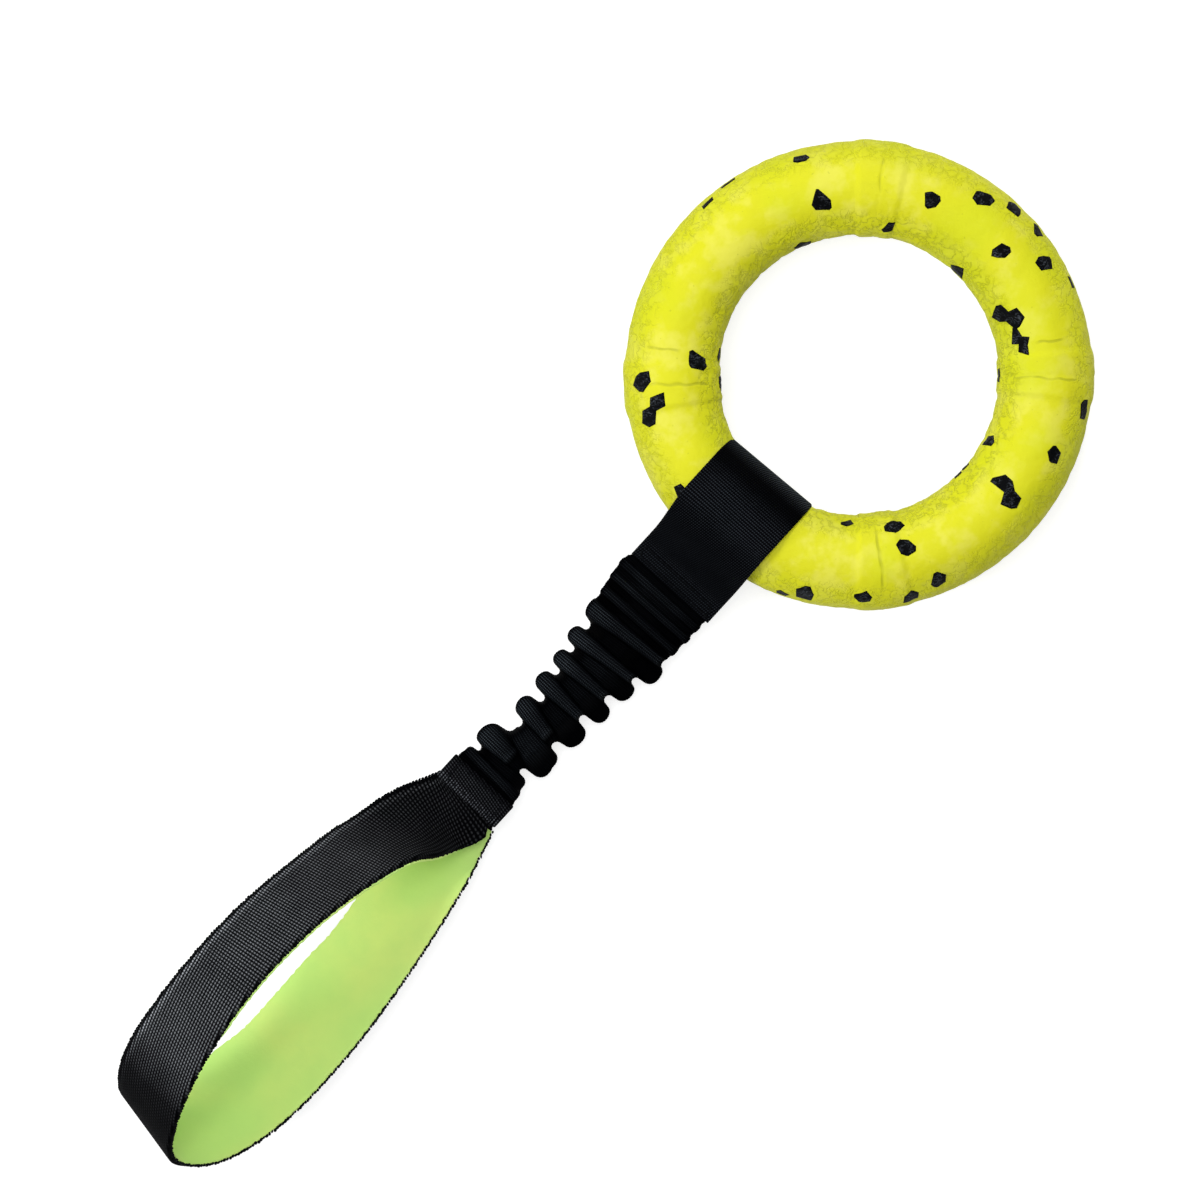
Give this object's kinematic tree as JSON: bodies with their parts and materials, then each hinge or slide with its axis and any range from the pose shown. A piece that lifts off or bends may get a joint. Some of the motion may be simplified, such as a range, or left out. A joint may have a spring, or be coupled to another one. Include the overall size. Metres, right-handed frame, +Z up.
{
  "type": "dog tug toy",
  "caption": "Foam ring held by a webbing eye, joined through a gathered elastic bungee sleeve to a padded webbing loop handle.",
  "frame": {"origin": "bottom centre of the whole toy's box, on the surface that the toy lies on", "axes": "+X from the handle towards the ring along the toy's length, +Z up from the surface, +Y across"},
  "size_m": [0.381, 0.1396, 0.0637],
  "materials": {
    "ring_foam": "pebbled moulded bead foam, soft satin",
    "strap_webbing": "ribbed flat webbing, slight sheen",
    "sleeve_webbing": "gathered tubular webbing",
    "elastic": "woven covered elastic",
    "handle_webbing": "ribbed flat webbing",
    "lining": "soft brushed pad",
    "thread": "bonded sewing thread",
    "wrap_webbing": "ribbed narrow webbing"
  },
  "bodies": {
    "handle": {"handle_webbing": "handle_webbing", "handle_lining": "lining", "handle_edge_seam_left": "thread", "handle_edge_seam_right": "thread", "junction_wrap": "wrap_webbing", "junction_stitch_upper": "thread", "junction_stitch_lower": "thread"},
    "sleeve": {"bungee_sleeve": "sleeve_webbing"},
    "elastic": {"elastic_core": "elastic"},
    "strap": {"ring_strap": "strap_webbing", "ring_end_stitch_upper": "thread", "ring_end_stitch_lower": "thread"},
    "ring": {"foam_ring": "ring_foam"}
  },
  "joints": [
    {"name": "bungee_sway", "type": "hinge", "parent": "handle", "child": "sleeve", "pos_m": [-0.031, 0, 0.0086], "axis": [0, 0, 1], "range_deg": [-45, 45], "deforming": ["bungee_sleeve", "elastic_core"]},
    {"name": "bungee_stretch", "type": "slide", "parent": "sleeve", "child": "elastic", "axis": [1, 0, 0], "range_m": [0, 0.04], "stiffness_N_per_m": 400, "deforming": ["bungee_sleeve", "elastic_core"]},
    {"name": "bungee_lift", "type": "hinge", "parent": "elastic", "child": "strap", "pos_m": [0.023, 0, 0.0086], "axis": [0, -1, 0], "range_deg": [-75, 75], "deforming": ["bungee_sleeve", "elastic_core"]},
    {"name": "ring_turn", "type": "hinge", "parent": "strap", "child": "ring", "pos_m": [0.12065, 0, 0.01543], "axis": [0.0174, 0, 0.9998], "continuous": true}
  ]
}
